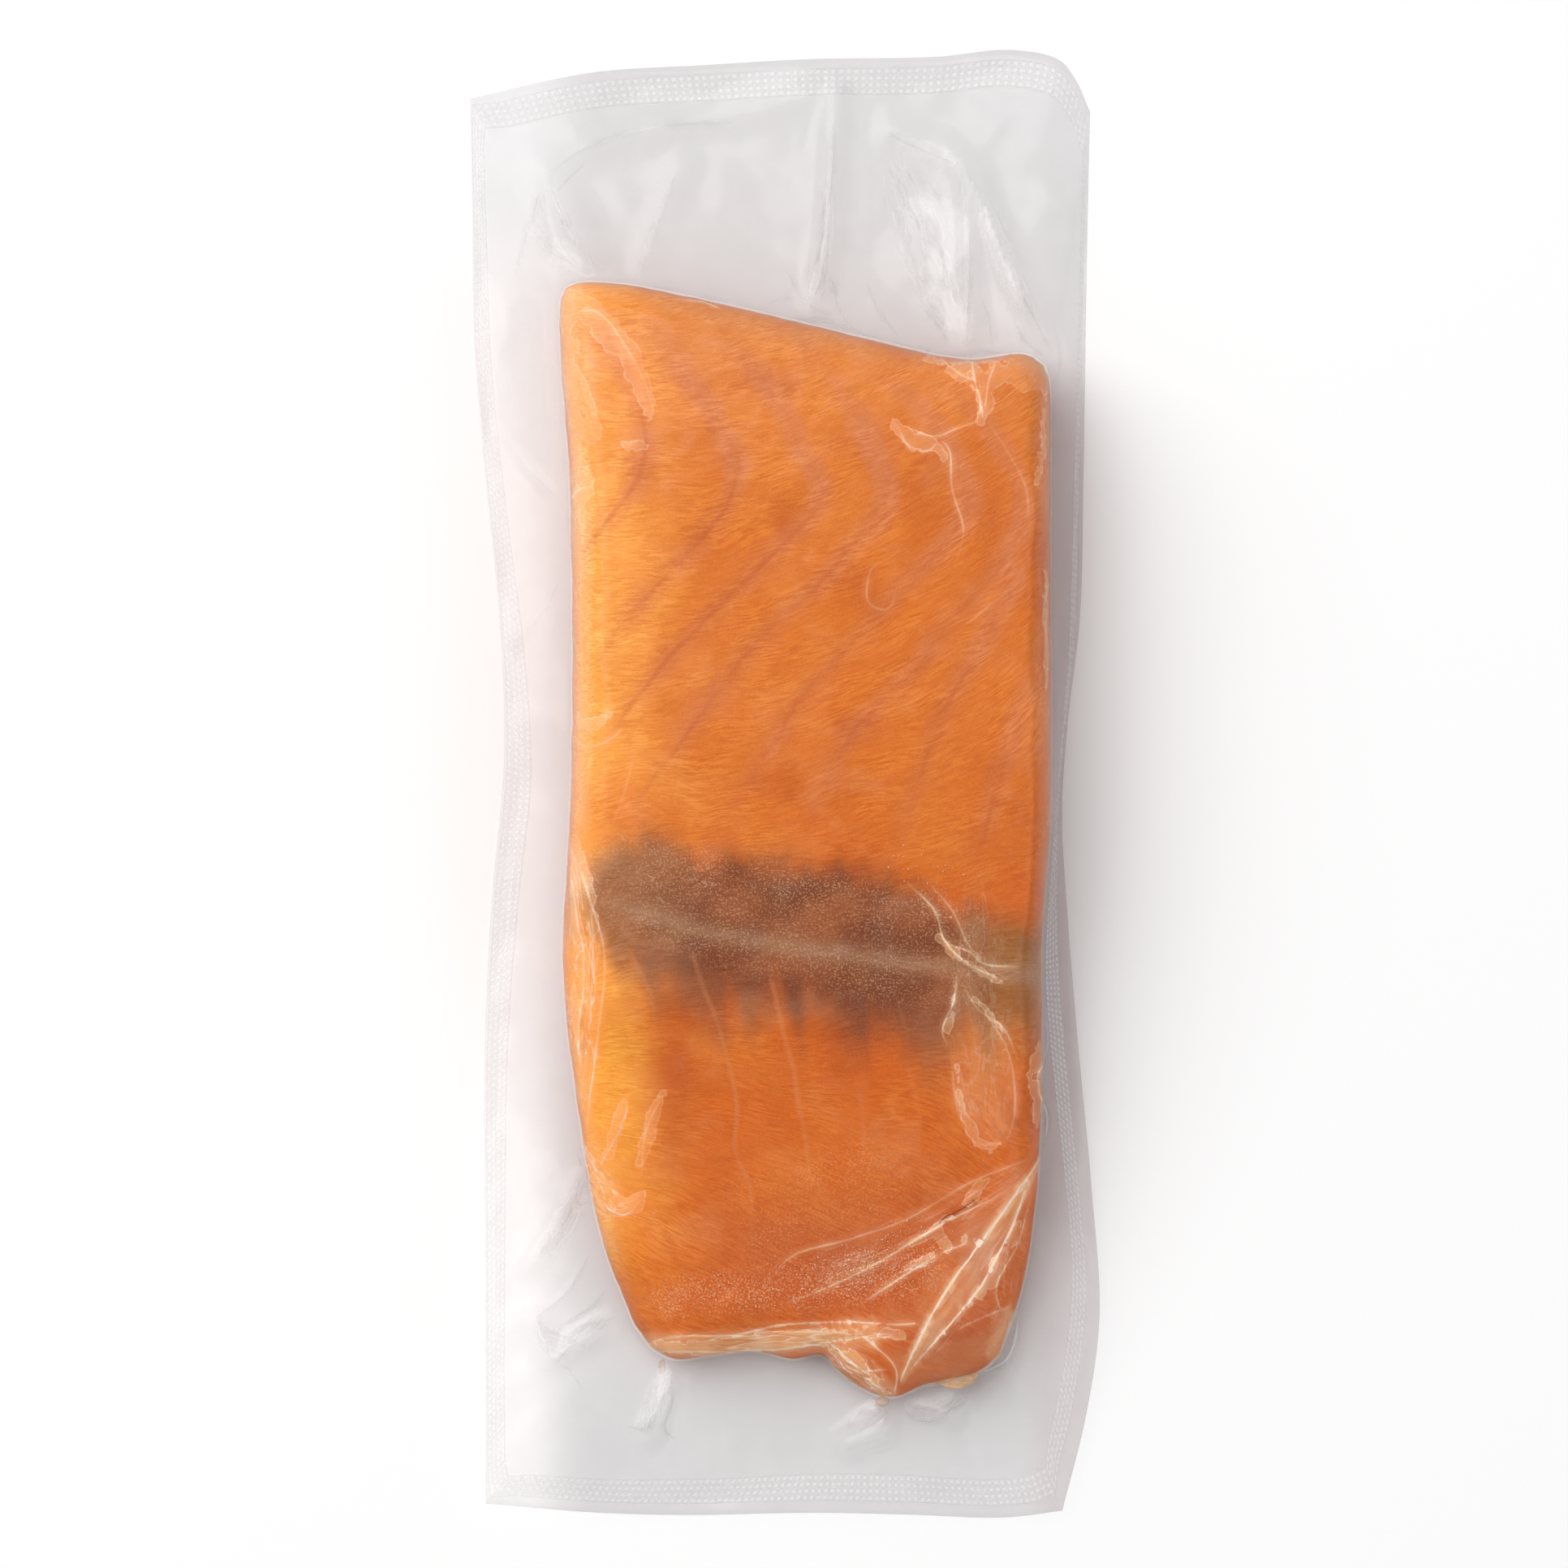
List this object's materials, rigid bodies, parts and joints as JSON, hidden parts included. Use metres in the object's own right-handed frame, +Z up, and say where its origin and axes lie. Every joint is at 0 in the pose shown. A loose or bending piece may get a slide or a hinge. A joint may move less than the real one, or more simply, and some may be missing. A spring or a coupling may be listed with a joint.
{
  "type": "vacuum-packed skinless salmon portion",
  "caption": "Skinless raw salmon portion, skin side up, sealed under vacuum in a clear pouch with a pressed weld band and a creased film apron.",
  "frame": {"origin": "middle of the pouch in plan, on the surface that the portion lies on", "axes": "+Y along the portion from its thin belly end to its thick back end, +X to the right with the skin side up, +Z up out of the skin side"},
  "size_m": [0.0774, 0.1806, 0.021],
  "materials": {
    "salmon_flesh": "moist raw flesh, orange with a brown band and fine pale fibres",
    "clear_film": "clear glossy film, hazy where it stands off the fish",
    "weld_band": "clear film pressed with small square cells",
    "pale_flesh": "moist pale tan flesh",
    "fish_juice": "clear yellowish liquid",
    "frost": "small pale bubbles and specks"
  },
  "bodies": {
    "root": {"salmon_pack": "salmon_flesh"}
  },
  "joints": []
}
